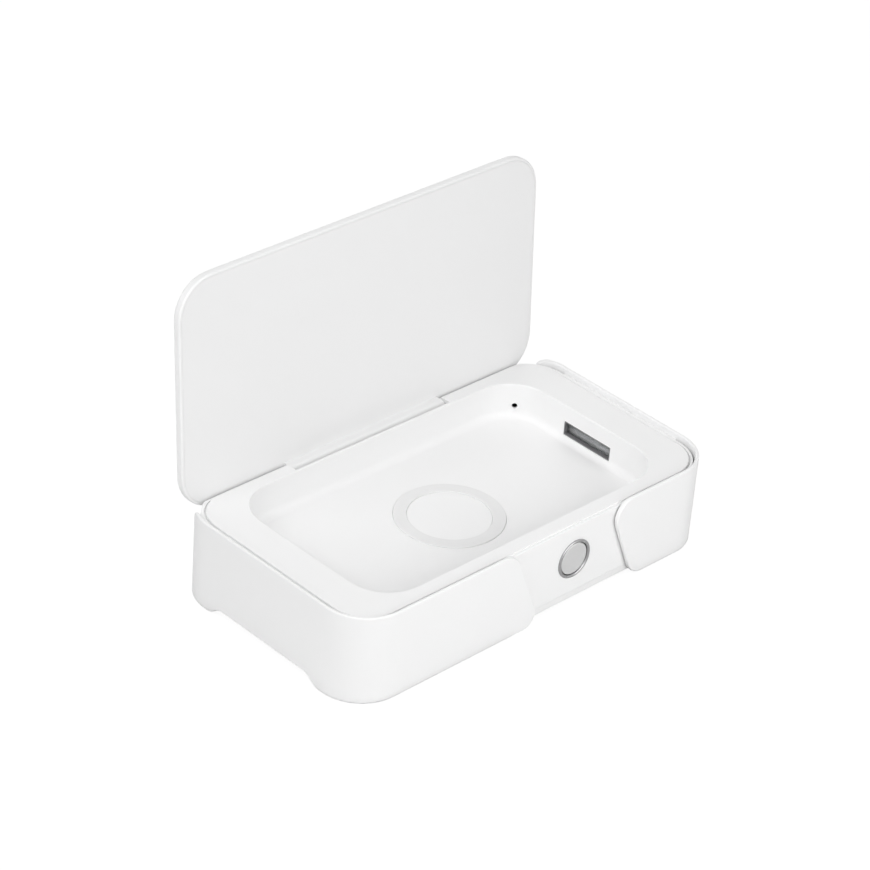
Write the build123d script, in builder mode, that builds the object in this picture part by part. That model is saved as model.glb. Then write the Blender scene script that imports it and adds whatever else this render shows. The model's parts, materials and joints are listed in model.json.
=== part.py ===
from build123d import *
import os
from math import cos, hypot, radians, sin

os.makedirs("parts", exist_ok=True)

# A UV sanitizer box for phones, in millimetres, +Z up, standing on Z = 0 with its lid open.
# The origin is the middle of the open box's bounding box, at floor level. The box itself sits
# a little in front of it, because the open lid leans out behind. All places below are counted
# from the middle of the box, which the planes of level(), from_front() and from_right() hold.
box_y = -4.9

# ------------------------------------------------------------------ driving dimensions
outer_length, outer_depth, outer_corner = 220.0, 120.8, 21.8
band_thickness, band_gap = 1.8, 0.8
band_bottom, band_top = 0.4, 44.7
band_edge, band_inner_edge = 0.7, 0.9

deck_z, deck_thickness = 42.4, 3.0
deck_length, deck_depth, deck_corner, deck_edge = 210.4, 111.9, 17.4, 0.35
deck_middle = -0.35
ledge_z, ledge_edge = 41.7, 0.5
seam_z, cover_z = 6.5, 2.7
wall = 2.2

basin_length, basin_width, basin_corner = 174.8, 97.7, 19.9
basin_wall, basin_floor_z, basin_floor = 1.2, 24.5, 2.0
basin_rim_round, basin_floor_round = 0.5, 3.7

hinge_y, hinge_z = 54.6, 39.1
open_angle = 93.9
lid_gap = 0.2
lid_length, lid_depth, lid_corner, lid_thickness = 213.6, 113.0, 18.6, 4.7
lid_rear = 57.1
lid_skin, lid_border, lid_panel = 1.5, 1.4, 1.4

button_x, button_z = 20.7, 24.3
button_cap_r, button_ring_r, ring_barrel_r = 8.0, 9.7, 9.2
button_travel = 0.6

slot_z, slot_length, slot_height = 30.4, 29.6, 7.3
air_hole_r, air_hole_z, air_hole_turn = 1.4, 30.5, 42.5
ring_pad_outer, ring_pad_inner, ring_pad_proud = 25.7, 19.2, 0.5

board_top, board_thickness = 10.9, 1.6

# ------------------------------------------------------------------ sizes that follow
body_length = outer_length - 2 * (band_thickness + band_gap)
body_depth = outer_depth - 2 * (band_thickness + band_gap)
body_corner = outer_corner - band_thickness - band_gap
front_y, inner_front_y = -body_depth / 2, -body_depth / 2 + wall
deck_under = deck_z - deck_thickness
basin_end, basin_side = basin_length / 2, basin_width / 2
basin_under = basin_floor_z - basin_floor
ledge_round = ledge_z - hinge_z
sides = {"left": -1, "right": 1}


def level(z):
    """Horizontal plane at height z, centred on the box."""
    return Plane((0, box_y, z))


def from_front(y):
    """Upright plane at depth y, seen from the front: across is X, up is Z."""
    return Plane(origin=(0, box_y + y, 0), x_dir=(1, 0, 0), z_dir=(0, -1, 0))


def from_right(x):
    """Upright plane at x, seen from the right: across is Y, up is Z."""
    return Plane(origin=(x, box_y, 0), x_dir=(0, 1, 0), z_dir=(1, 0, 0))


def outline_distance(x, y):
    """Signed distance of a point from the bands' outer outline, negative inside it."""
    across = abs(x) - (outer_length / 2 - outer_corner)
    along = abs(y - box_y) - (outer_depth / 2 - outer_corner)
    outside = hypot(max(across, 0), max(along, 0))
    return outside + min(max(across, along), 0) - outer_corner


# ------------------------------------------------------------------ fastener places
screw_r, screw_hole_r, boss_r = 1.22, 1.25, 2.7
screw_tip_z, boss_z, screw_head = 14.0, 4.8, 0.9
rail_y = inner_front_y + 0.3 + boss_r
corner_screw = (97.0, 47.5)
tab_z, tab_thickness, tab_half = 1.2, 1.4, 5.0
front_tab_x = {"left": (-70.0, -30.0), "right": (70.0,)}
band_screw_places = [(sx * corner_screw[0], sy * corner_screw[1]) for sx in (-1, 1) for sy in (-1, 1)]
band_screw_places += [(x, rail_y) for places in front_tab_x.values() for x in places]
cover_screw_places = [(-70.0, -rail_y), (70.0, -rail_y), (0.0, rail_y)]
foot_places = [(sx * 80.0, sy * 35.0) for sx in (-1, 1) for sy in (-1, 1)]
board_screw_places = [(sx * 38.0, y) for sx in (-1, 1) for y in (-14.0, 46.0)]
button_post_places = [(button_x + sx * 12.0, 17.2) for sx in (-1, 1)]
bracket_screw_places = [(-34.0, 0.0), (34.0, 0.0)]
magnet_places = [(-44.0, rail_y), (44.0, rail_y)]

pieces = {}

# ------------------------------------------------------------------ upper body
# One moulding: raised deck, ledge round it, front and rear panel, side walls and the basin.
usb_z = board_top + 1.65
notch_middle, notch_half, notch_front, notch_floor = -1.45, 47.25, 50.0, 35.7
hinge_block_half, hinge_block_z = 62.0, 33.2
pin_r, pin_hole_r, pin_outer_x = 1.2, 1.22, 60.0
sleeve_r, sleeve_end = 12.0, -54.5
board_face_y = -51.1
usb_boss_y, usb_floor_y = 52.6, 53.4
bracket_z = 20.0
groove_depth = 1.0
channel_width, channel_floor_z = 0.8, 40.8
channel_gaps = {"front": (-26.0, 52.0), "rear": (-94.0, 94.0)}
lip_reach, lip_height, lip_half = 0.7, 1.0, 36.0

with BuildPart() as upper_body:
    with BuildSketch(level(seam_z)):
        RectangleRounded(body_length, body_depth, body_corner)
    extrude(amount=ledge_z - seam_z)
    # The ledge's rear edge is rounded over, concentric with the hinge, and its front edge softened.
    with BuildSketch(from_right(0)) as ledge_profile:
        with Locations((0, ledge_z / 2)):
            Rectangle(body_depth, ledge_z)
        front_corner = ledge_profile.vertices().group_by(Axis.Y)[-1].sort_by(Axis.X)[0]
        fillet(front_corner, radius=ledge_edge)
        rear_corner = ledge_profile.vertices().group_by(Axis.Y)[-1].sort_by(Axis.X)[-1]
        fillet(rear_corner, radius=ledge_round)
    extrude(amount=body_length / 2, both=True, mode=Mode.INTERSECT)
    # The deck stands a little above the ledge.
    with BuildSketch(level(ledge_z - 0.5)):
        with Locations((0, deck_middle)):
            RectangleRounded(deck_length, deck_depth, deck_corner)
    extrude(amount=deck_z - ledge_z + 0.5)
    fillet(upper_body.faces().sort_by(Axis.Z)[-1].edges(), radius=deck_edge)
    # Narrow channel between deck and ledge behind the bands, and none where they leave a gap.
    with BuildSketch(level(channel_floor_z)):
        with Locations((0, deck_middle)):
            RectangleRounded(
                deck_length + 2 * channel_width,
                deck_depth + 2 * channel_width,
                deck_corner + channel_width,
            )
            RectangleRounded(deck_length, deck_depth, deck_corner, mode=Mode.SUBTRACT)
        for end, (gap_left, gap_right) in zip((-1, 1), channel_gaps.values()):
            with Locations(((gap_left + gap_right) / 2, end * deck_depth / 2)):
                Rectangle(gap_right - gap_left, 20, mode=Mode.SUBTRACT)
    extrude(amount=deck_z - channel_floor_z, mode=Mode.SUBTRACT)
    # The ledge's lip all but closes the gap to the bands along both sides.
    with BuildSketch(level(ledge_z - lip_height)):
        for end in (-1, 1):
            with Locations((end * (body_length / 2 + lip_reach / 2 - 0.25), 0)):
                Rectangle(lip_reach + 0.5, 2 * lip_half)
    extrude(amount=lip_height)
    with BuildSketch(level(seam_z)):
        RectangleRounded(body_length - 2 * wall, body_depth - 2 * wall, body_corner - wall)
    extrude(amount=deck_under - seam_z, mode=Mode.SUBTRACT)
    # The basin hangs from the deck.
    with BuildSketch(level(basin_under)):
        RectangleRounded(
            basin_length + 2 * basin_wall, basin_width + 2 * basin_wall, basin_corner + basin_wall
        )
    extrude(amount=deck_under - basin_under)
    with BuildSketch(level(deck_z)):
        RectangleRounded(basin_length, basin_width, basin_corner)
    extrude(amount=basin_floor_z - deck_z, mode=Mode.SUBTRACT)
    fillet(
        upper_body.edges().filter_by_position(Axis.Z, basin_floor_z - 0.01, basin_floor_z + 0.01),
        radius=basin_floor_round,
    )
    fillet(
        upper_body.faces().sort_by(Axis.Z)[-1].inner_wires()[0].edges(),
        radius=basin_rim_round,
    )
    # Groove for the ring pad.
    with BuildSketch(level(basin_floor_z - groove_depth)):
        Circle(ring_pad_outer)
        Circle(ring_pad_inner, mode=Mode.SUBTRACT)
    extrude(amount=groove_depth + 1, mode=Mode.SUBTRACT)
    # Block that carries the hinge pins, behind the basin.
    with BuildSketch(from_right(-hinge_block_half)):
        with BuildLine():
            Polyline(
                (basin_side + 1, hinge_block_z),
                (body_depth / 2 - 1, hinge_block_z),
                (body_depth / 2 - 1, deck_under - 0.5),
                (body_depth / 2 - ledge_round, deck_under + 0.5),
                (basin_side + 1, deck_under + 0.5),
                close=True,
            )
        make_face()
    extrude(amount=2 * hinge_block_half)
    # Bosses for the screws from below, and for the coil bracket.
    with BuildSketch(level(boss_z)):
        with Locations(*band_screw_places, *cover_screw_places):
            Circle(boss_r)
    extrude(amount=deck_under - boss_z)
    with BuildSketch(level(bracket_z)):
        with Locations(*bracket_screw_places):
            Circle(2.6)
    extrude(amount=basin_under - bracket_z)
    # Sleeve and posts behind the front panel for the button.
    with BuildSketch(from_front(inner_front_y)):
        with Locations((button_x, button_z)):
            Circle(sleeve_r)
    extrude(amount=inner_front_y - sleeve_end)
    with BuildSketch(from_front(inner_front_y)):
        with Locations(*button_post_places):
            Circle(2.2)
    extrude(amount=inner_front_y - board_face_y)
    # Boss of the charging port in the rear panel.
    with BuildSketch(from_front(usb_boss_y)):
        with Locations((0, usb_z)):
            RectangleRounded(20, 11, 2)
    extrude(amount=usb_boss_y - body_depth / 2 + 1)

    # Openings.
    with BuildSketch(from_right(notch_middle - notch_half)):
        with BuildLine():
            FilletPolyline(
                (notch_front, deck_z + 5),
                (notch_front, notch_floor),
                (body_depth, notch_floor),
                radius=2.5,
            )
            Polyline((body_depth, notch_floor), (body_depth, deck_z + 5), (notch_front, deck_z + 5))
        make_face()
    extrude(amount=2 * notch_half, mode=Mode.SUBTRACT)
    with BuildSketch(from_right(-pin_outer_x)):
        with Locations((hinge_y, hinge_z)):
            Circle(pin_hole_r)
    extrude(amount=2 * pin_outer_x, mode=Mode.SUBTRACT)
    with BuildSketch(from_right(-basin_end - basin_wall - 1)):
        with Locations((0, slot_z)):
            RectangleRounded(slot_length, slot_height, 0.4)
    extrude(amount=2 * (basin_end + basin_wall + 1), mode=Mode.SUBTRACT)
    for side_x in (-1, 1):
        for side_y in (-1, 1):
            hole_origin = (
                side_x * (basin_end - basin_corner),
                box_y + side_y * (basin_side - basin_corner),
                air_hole_z,
            )
            hole_way = (side_x * cos(radians(air_hole_turn)), side_y * sin(radians(air_hole_turn)), 0)
            hole_plane = Plane(origin=hole_origin, z_dir=hole_way)
            with BuildSketch(hole_plane):
                Circle(air_hole_r)
            extrude(amount=basin_corner + basin_wall + 1, mode=Mode.SUBTRACT)
    with BuildSketch(from_front(front_y - 1)):
        with Locations((button_x, button_z)):
            Circle(ring_barrel_r + 0.05)
    extrude(amount=front_y - 1 - sleeve_end - 1, mode=Mode.SUBTRACT)
    with BuildSketch(from_front(usb_floor_y)):
        with Locations((0, usb_z)):
            SlotOverall(12.6, 6.9)
    extrude(amount=usb_floor_y - body_depth / 2 - 1, mode=Mode.SUBTRACT)
    with BuildSketch(from_front(usb_boss_y - 1)):
        with Locations((0, usb_z)):
            SlotOverall(9.1, 3.4)
    extrude(amount=usb_boss_y - 1 - usb_floor_y - 1, mode=Mode.SUBTRACT)
    with BuildSketch(level(boss_z)):
        with Locations(*band_screw_places, *cover_screw_places):
            Circle(screw_hole_r)
    extrude(amount=screw_tip_z - boss_z + 1, mode=Mode.SUBTRACT)
    with BuildSketch(from_front(board_face_y)):
        with Locations(*button_post_places):
            Circle(0.95)
    extrude(amount=4.2, mode=Mode.SUBTRACT)
    with BuildSketch(level(bracket_z)):
        with Locations(*bracket_screw_places):
            Circle(0.95)
    extrude(amount=3.5, mode=Mode.SUBTRACT)
pieces["upper_body"] = upper_body

# ------------------------------------------------------------------ bottom cover
cover_plate = 2.0
foot_r, foot_recess = 6.0, 0.5
rib_gap, rib_thickness, rib_height = 0.2, 1.2, 1.9
rib_y = body_depth / 2 - wall - rib_gap - rib_thickness / 2
rib_x = body_length / 2 - wall - rib_gap - rib_thickness / 2

with BuildPart() as bottom_cover:
    with BuildSketch(level(cover_z)):
        RectangleRounded(body_length, body_depth, body_corner)
    extrude(amount=seam_z - 0.1 - cover_z)
    fillet(bottom_cover.faces().sort_by(Axis.Z)[0].edges(), radius=0.6)
    with BuildSketch(level(cover_z + cover_plate)):
        RectangleRounded(body_length - 2 * wall, body_depth - 2 * wall, body_corner - wall)
    extrude(amount=seam_z - cover_z, mode=Mode.SUBTRACT)
    # Ribs that reach up inside the walls and keep the cover in line with them.
    with BuildSketch(level(cover_z + cover_plate)):
        with Locations((-rib_x, 0), (rib_x, 0)):
            Rectangle(rib_thickness, 40)
        with Locations((-50, -rib_y), (50, -rib_y), (-40, rib_y), (40, rib_y)):
            Rectangle(24, rib_thickness)
    extrude(amount=seam_z + rib_height - cover_z - cover_plate)
    with BuildSketch(level(cover_z + cover_plate)):
        with Locations(*board_screw_places):
            Circle(2.5)
    extrude(amount=board_top - board_thickness - cover_z - cover_plate)
    with BuildSketch(level(cover_z + 0.8)):
        with Locations(*board_screw_places):
            Circle(0.95)
    extrude(amount=board_top, mode=Mode.SUBTRACT)
    with BuildSketch(level(cover_z)):
        with Locations(*band_screw_places, *cover_screw_places):
            Circle(1.45)
    extrude(amount=cover_plate, mode=Mode.SUBTRACT)
    with BuildSketch(level(cover_z)):
        with Locations(*foot_places):
            Circle(foot_r + 0.1)
    extrude(amount=foot_recess, mode=Mode.SUBTRACT)
    # Shallow plain recess in the middle of the underside.
    with BuildSketch(level(cover_z)):
        RectangleRounded(50, 30, 2)
    extrude(amount=0.3, mode=Mode.SUBTRACT)
pieces["bottom_cover"] = bottom_cover

# ------------------------------------------------------------------ side bands
# Two bowed strips stand around the ends of the body on tabs screwed under it. Each has a
# slanting front end with round corners, and a shallow arch in its lower edge.
front_ends = {
    "left": ((-150, band_top), (-19.1, band_top), (-0.1, band_bottom), (-150, band_bottom)),
    "right": ((150, band_top), (39.7, band_top), (58.6, band_bottom), (150, band_bottom)),
}
front_end_rounds = {"left": (0, 10.5, 7, 0), "right": (0, 9.5, 10, 0)}

for side, sign in sides.items():
    with BuildPart() as side_band:
        with BuildSketch(level(band_bottom)):
            RectangleRounded(outer_length, outer_depth, outer_corner)
            RectangleRounded(
                outer_length - 2 * band_thickness,
                outer_depth - 2 * band_thickness,
                outer_corner - band_thickness,
                mode=Mode.SUBTRACT,
            )
        extrude(amount=band_top - band_bottom)
        fillet(
            side_band.faces().sort_by(Axis.Z)[-1].inner_wires()[0].edges(), radius=band_inner_edge
        )
        # Front end.
        with BuildSketch(from_front(0)):
            Rectangle(2 * outer_length, 100)
            with BuildLine():
                FilletPolyline(*front_ends[side], radius=front_end_rounds[side], close=True)
            make_face(mode=Mode.SUBTRACT)
        extrude(amount=outer_depth, mode=Mode.SUBTRACT)
        # Rear end.
        with BuildSketch(from_front(0)):
            Rectangle(2 * outer_length, 100)
            with BuildLine():
                FilletPolyline(
                    (sign * 150, band_top),
                    (sign * 105.6, band_top),
                    (sign * 92.0, band_bottom),
                    (sign * 150, band_bottom),
                    radius=(0, 5, 5, 0),
                    close=True,
                )
            make_face(mode=Mode.SUBTRACT)
        extrude(amount=-outer_depth, mode=Mode.SUBTRACT)
        # Arch between the feet of the band.
        with BuildSketch(from_right(sign * (outer_length / 2 - 5))):
            with BuildLine():
                FilletPolyline(
                    (-60, band_bottom),
                    (-34.2, band_bottom),
                    (-28.8, 4.8),
                    (28.8, 4.8),
                    (34.2, band_bottom),
                    (60, band_bottom),
                    (60, -2),
                    (-60, -2),
                    radius=(0, 8, 8, 8, 8, 0, 0, 0),
                    close=True,
                )
            make_face()
        extrude(amount=sign * 10, mode=Mode.SUBTRACT)
        # Soft edge all round the outside.
        outside = [
            edge
            for edge in side_band.edges()
            if all(abs(outline_distance(*tuple(edge @ t)[:2])) < 0.01 for t in (0, 0.5, 1))
        ]
        fillet(outside, radius=band_edge)
        # Tabs that reach under the body.
        for end in (-1, 1):
            with BuildSketch(level(tab_z)):
                RectangleRounded(
                    outer_length - band_thickness,
                    outer_depth - band_thickness,
                    outer_corner - band_thickness / 2,
                )
                with Locations((sign * 106, end * 48)):
                    Rectangle(30, 13, mode=Mode.INTERSECT)
            extrude(amount=tab_thickness)
        with BuildSketch(level(tab_z)):
            with Locations(*[(x, rail_y - 1.2) for x in front_tab_x[side]]):
                Rectangle(2 * tab_half, 12)
        extrude(amount=tab_thickness)
        with BuildSketch(level(tab_z)):
            with Locations(*band_screw_places):
                Circle(1.45)
        extrude(amount=tab_thickness, mode=Mode.SUBTRACT)
    pieces[f"{side}_side_band"] = side_band

# ------------------------------------------------------------------ screws below, and feet
# Pan-head screws: the bands' under the tabs, the cover's own three under the cover.
screw_groups = {
    "band_screws": (band_screw_places, tab_z),
    "cover_screws": (cover_screw_places, cover_z),
}
for name, (places, seat_z) in screw_groups.items():
    with BuildPart() as screws:
        with BuildSketch(level(seat_z - screw_head)):
            with Locations(*places):
                Circle(2.5)
        extrude(amount=screw_head)
        fillet(screws.edges().group_by(Axis.Z)[0], radius=0.4)
        with BuildSketch(level(seat_z)):
            with Locations(*places):
                Circle(screw_r)
        extrude(amount=screw_tip_z - 0.5 - seat_z)
        with BuildSketch(level(seat_z - screw_head)):
            with Locations(*places):
                Rectangle(2.6, 0.6)
                Rectangle(0.6, 2.6)
        extrude(amount=0.6, mode=Mode.SUBTRACT)
    pieces[name] = screws

with BuildPart() as rubber_feet:
    with BuildSketch(level(0)):
        with Locations(*foot_places):
            Circle(foot_r)
    extrude(amount=cover_z + foot_recess)
    fillet(rubber_feet.edges().group_by(Axis.Z)[0], radius=0.6)
pieces["rubber_feet"] = rubber_feet

# ------------------------------------------------------------------ button
ring_front = front_y - 0.8
ring_rear = -55.5
cap_face = ring_front + 0.5
cap_rear = sleeve_end
flange_r = 8.8
button_axis = Axis((button_x, box_y, button_z), (0, 1, 0))
half_section = Plane(origin=(button_x, box_y, button_z), x_dir=(1, 0, 0), z_dir=(0, 0, 1))

with BuildPart() as button_ring:
    with BuildSketch(half_section):
        with BuildLine():
            Polyline(
                (8.25, ring_rear),
                (ring_barrel_r, ring_rear),
                (ring_barrel_r, front_y),
                (button_ring_r, front_y),
                (button_ring_r, ring_front + 0.45),
            )
            ThreePointArc((button_ring_r, ring_front + 0.45), (9.1, ring_front), (8.25, ring_front + 0.6))
            Line((8.25, ring_front + 0.6), (8.25, ring_rear))
        make_face()
    revolve(axis=button_axis)
pieces["button_ring"] = button_ring

with BuildPart() as button_cap:
    with BuildSketch(half_section):
        with BuildLine():
            Polyline(
                (0, cap_face),
                (button_cap_r - 0.05, cap_face),
                (button_cap_r - 0.05, ring_rear + 0.2),
                (flange_r, ring_rear + 0.2),
                (flange_r, cap_rear),
                (6.6, cap_rear),
                (6.6, -56.6),
                (2.2, -56.6),
                (2.2, cap_rear),
                (0, cap_rear),
                close=True,
            )
        make_face()
    revolve(axis=button_axis)
    fillet(button_cap.faces().sort_by(Axis.Y)[0].edges(), radius=0.5)
pieces["button_cap"] = button_cap

switch_face, switch_floor, switch_bore = -53.5, -51.8, 1.7
with BuildPart() as switch_plunger:
    with BuildSketch(from_front(-52.5)):
        with Locations((button_x, button_z)):
            Circle(1.6)
    extrude(amount=-52.5 - cap_rear)
pieces["switch_plunger"] = switch_plunger

spring_wire = 0.3
with BuildPart() as button_spring:
    with BuildLine():
        spring_path = Helix(
            pitch=1.35,
            height=board_face_y - cap_rear - 2 * spring_wire - 0.1,
            radius=7.5,
            center=(button_x, box_y + cap_rear + spring_wire + 0.05, button_z),
            direction=(0, 1, 0),
        )
    with BuildSketch(Plane(origin=spring_path @ 0, z_dir=spring_path % 0)):
        Circle(spring_wire)
    sweep(path=spring_path)
pieces["button_spring"] = button_spring

with BuildPart() as push_switch:
    with BuildSketch(from_front(switch_face)):
        with Locations((button_x, button_z)):
            RectangleRounded(6, 6, 0.5)
            Circle(switch_bore, mode=Mode.SUBTRACT)
    extrude(amount=switch_face - switch_floor)
    with BuildSketch(from_front(switch_floor)):
        with Locations((button_x, button_z)):
            RectangleRounded(6, 6, 0.5)
    extrude(amount=switch_floor - board_face_y)
pieces["push_switch"] = push_switch

button_board_thickness = 1.0
with BuildPart() as button_board:
    with BuildSketch(from_front(board_face_y)):
        with Locations((button_x, 23.7)):
            RectangleRounded(30, 19, 1)
        with Locations(*button_post_places):
            Circle(1.1, mode=Mode.SUBTRACT)
    extrude(amount=-button_board_thickness)
pieces["button_board"] = button_board

board_rear_y = board_face_y + button_board_thickness
with BuildPart() as button_board_screws:
    with BuildSketch(from_front(board_rear_y)):
        with Locations(*button_post_places):
            Circle(1.8)
    extrude(amount=-1.0)
    fillet(button_board_screws.edges().group_by(Axis.Y)[-1], radius=0.4)
    with BuildSketch(from_front(board_rear_y)):
        with Locations(*button_post_places):
            Circle(0.92)
    extrude(amount=4.8)
    with BuildSketch(from_front(board_rear_y + 1.0)):
        with Locations(*button_post_places):
            Rectangle(1.9, 0.45)
            Rectangle(0.45, 1.9)
    extrude(amount=0.5, mode=Mode.SUBTRACT)
pieces["button_board_screws"] = button_board_screws

# ------------------------------------------------------------------ charging ring and coil
with BuildPart() as ring_pad:
    with BuildSketch(level(basin_floor_z - groove_depth)):
        Circle(ring_pad_outer - 0.1)
        Circle(ring_pad_inner + 0.1, mode=Mode.SUBTRACT)
    extrude(amount=groove_depth + ring_pad_proud)
    fillet(ring_pad.edges().group_by(Axis.Z)[-1], radius=0.4)
pieces["ring_pad"] = ring_pad

coil_wire, coil_turns, coil_inner = 0.62, 10, 10.6
coil_z = basin_under - 0.1 - coil_wire
with BuildPart() as charging_coil:
    with BuildSketch(from_front(0)):
        with Locations(*[(coil_inner + 1.2 * turn, coil_z) for turn in range(coil_turns)]):
            Circle(coil_wire)
    revolve(axis=Axis((0, box_y, 0), (0, 0, 1)))
pieces["charging_coil"] = charging_coil

with BuildPart() as ferrite_sheet:
    with BuildSketch(level(bracket_z)):
        Circle(25)
    extrude(amount=1.1)
pieces["ferrite_sheet"] = ferrite_sheet

bracket_thickness = 1.2
with BuildPart() as coil_bracket:
    with BuildSketch(level(bracket_z)):
        RectangleRounded(78, 52, 6)
        with Locations(*bracket_screw_places):
            Circle(1.1, mode=Mode.SUBTRACT)
        with Locations((-16, 16), (16, 16), (-16, -16), (16, -16)):
            Circle(4, mode=Mode.SUBTRACT)
    extrude(amount=-bracket_thickness)
pieces["coil_bracket"] = coil_bracket

small_screws = {
    "coil_bracket_screws": (bracket_screw_places, bracket_z - bracket_thickness, -1, 4.2),
    "main_board_screws": (board_screw_places, board_top, 1, 6.2),
}
for name, (places, seat_z, up, shank) in small_screws.items():
    with BuildPart() as screws:
        with BuildSketch(level(seat_z)):
            with Locations(*places):
                Circle(1.8)
        extrude(amount=up * 1.0)
        with BuildSketch(level(seat_z)):
            with Locations(*places):
                Circle(0.92)
        extrude(amount=-up * shank)
        with BuildSketch(level(seat_z + up * 1.0)):
            with Locations(*places):
                Rectangle(1.9, 0.45)
                Rectangle(0.45, 1.9)
        extrude(amount=-up * 0.5, mode=Mode.SUBTRACT)
    pieces[name] = screws

# ------------------------------------------------------------------ lamps
# One tube behind the slot at each end of the basin, in a box with a bright trough.
lamp_half, lamp_low, lamp_high, lamp_wall = 22.0, 23.0, 38.6, 1.4
lamp_front, lamp_rear = basin_end + basin_wall + 0.1, 101.0
frame_plate = 0.8
tube_x, tube_z, tube_r, tube_bore, tube_half = 93.0, 28.0, 2.6, 2.0, 17.3
cap_r, cap_inner_y, cap_outer_y = 3.0, 15.5, 19.0
saddle_y = 17.7

for side, sign in sides.items():
    with BuildPart() as lamp_frame:
        with BuildSketch(from_right(sign * lamp_front)):
            with Locations((0, (lamp_low + lamp_high) / 2)):
                Rectangle(2 * lamp_half, lamp_high - lamp_low)
        extrude(amount=sign * frame_plate)
        with BuildSketch(from_right(sign * (basin_end + 0.1))):
            with Locations((0, slot_z)):
                RectangleRounded(slot_length - 0.2, slot_height - 0.2, 0.3)
        extrude(amount=sign * (lamp_front - basin_end - 0.1))
        with BuildSketch(from_right(sign * basin_end)):
            with Locations((0, slot_z)):
                Rectangle(slot_length - 1.2, slot_height - 1.2)
        extrude(amount=sign * 5, mode=Mode.SUBTRACT)
    pieces[f"{side}_lamp_frame"] = lamp_frame

    back_x = lamp_front + frame_plate
    with BuildPart() as lamp_back:
        with BuildSketch(from_right(sign * back_x)):
            with Locations((0, (lamp_low + lamp_high) / 2)):
                Rectangle(2 * lamp_half, lamp_high - lamp_low)
        extrude(amount=sign * (lamp_rear - back_x))
        fillet(lamp_back.faces().sort_by(Axis.X)[min(sign, 0)].edges(), radius=1.0)
        with BuildSketch(from_right(sign * back_x)):
            with Locations((0, (lamp_low + lamp_high) / 2)):
                Rectangle(2 * (lamp_half - lamp_wall), lamp_high - lamp_low - 2 * lamp_wall)
        extrude(amount=sign * (lamp_rear - lamp_wall - back_x), mode=Mode.SUBTRACT)
        # Saddles under the end caps.
        for end in (-1, 1):
            with BuildSketch(from_front(end * (saddle_y + lamp_half) / 2)):
                with Locations((sign * (back_x + 96.6) / 2, (lamp_low + tube_z) / 2)):
                    Rectangle(96.6 - back_x, tube_z - lamp_low)
            extrude(amount=(lamp_half - saddle_y) / 2, both=True)
        with BuildSketch(from_front(-cap_outer_y - 0.1)):
            with Locations((sign * tube_x, tube_z)):
                Circle(cap_r + 0.05)
        extrude(amount=-2 * cap_outer_y - 0.2, mode=Mode.SUBTRACT)
    pieces[f"{side}_lamp_back"] = lamp_back

    with BuildPart() as lamp_reflector:
        with BuildSketch(from_front(saddle_y - 0.3)):
            with BuildLine():
                FilletPolyline(
                    (sign * (back_x + 0.4), 24.7),
                    (sign * 96.0, 24.7),
                    (sign * 99.3, 28.5),
                    (sign * 99.3, 33.2),
                    (sign * 96.0, 36.9),
                    (sign * (back_x + 0.4), 36.9),
                    radius=2.0,
                )
                offset(amount=0.2, side=Side.BOTH)
            make_face()
        extrude(amount=2 * saddle_y - 0.6)
    pieces[f"{side}_lamp_reflector"] = lamp_reflector

    with BuildPart() as lamp_tube:
        with BuildSketch(from_front(tube_half)):
            with Locations((sign * tube_x, tube_z)):
                Circle(tube_r)
                Circle(tube_bore, mode=Mode.SUBTRACT)
        extrude(amount=2 * tube_half)
    pieces[f"{side}_lamp_tube"] = lamp_tube

    with BuildPart() as lamp_end_caps:
        with BuildSketch(from_front(cap_outer_y)):
            with Locations((sign * tube_x, tube_z)):
                Circle(cap_r)
        extrude(amount=2 * cap_outer_y)
        with BuildSketch(from_front(cap_inner_y)):
            with Locations((sign * tube_x, tube_z)):
                Circle(cap_r + 1)
        extrude(amount=2 * cap_inner_y, mode=Mode.SUBTRACT)
        with BuildSketch(from_front(tube_half + 0.1)):
            with Locations((sign * tube_x, tube_z)):
                Circle(tube_r + 0.05)
        extrude(amount=2 * tube_half + 0.2, mode=Mode.SUBTRACT)
    pieces[f"{side}_lamp_end_caps"] = lamp_end_caps

    with BuildPart() as lamp_electrodes:
        for end in (-1, 1):
            with BuildSketch(from_front(end * 10.5)):
                with Locations((sign * tube_x, tube_z)):
                    Circle(1.2)
            extrude(amount=-end * 5)
            with BuildSketch(from_front(end * 15.5)):
                with Locations((sign * tube_x, tube_z)):
                    Circle(0.35)
            extrude(amount=-end * (tube_half + 0.1 - 15.5))
    pieces[f"{side}_lamp_electrodes"] = lamp_electrodes

# ------------------------------------------------------------------ main board
with BuildPart() as main_board:
    with BuildSketch(level(board_top - board_thickness)):
        with Locations((0, 16.1)):
            RectangleRounded(90, 72.2, 2)
        with Locations(*board_screw_places):
            Circle(1.1, mode=Mode.SUBTRACT)
    extrude(amount=board_thickness)
pieces["main_board"] = main_board

usb_front, usb_rear = usb_floor_y, usb_floor_y - 7.3
with BuildPart() as usb_c_socket:
    with BuildSketch(from_front(usb_front)):
        with Locations((0, usb_z)):
            SlotOverall(8.94, 3.26)
            SlotOverall(8.34, 2.56, mode=Mode.SUBTRACT)
    extrude(amount=usb_front - usb_rear)
pieces["usb_c_socket"] = usb_c_socket

with BuildPart() as usb_c_tongue:
    with BuildSketch(from_front(usb_rear + 2.4)):
        with Locations((0, usb_z)):
            SlotOverall(8.3, 2.52)
    extrude(amount=2.3)
    with BuildSketch(from_front(usb_front - 0.7)):
        with Locations((0, usb_z)):
            Rectangle(6.69, 0.7)
    extrude(amount=usb_front - 0.7 - usb_rear - 2.3)
pieces["usb_c_tongue"] = usb_c_tongue

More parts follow.
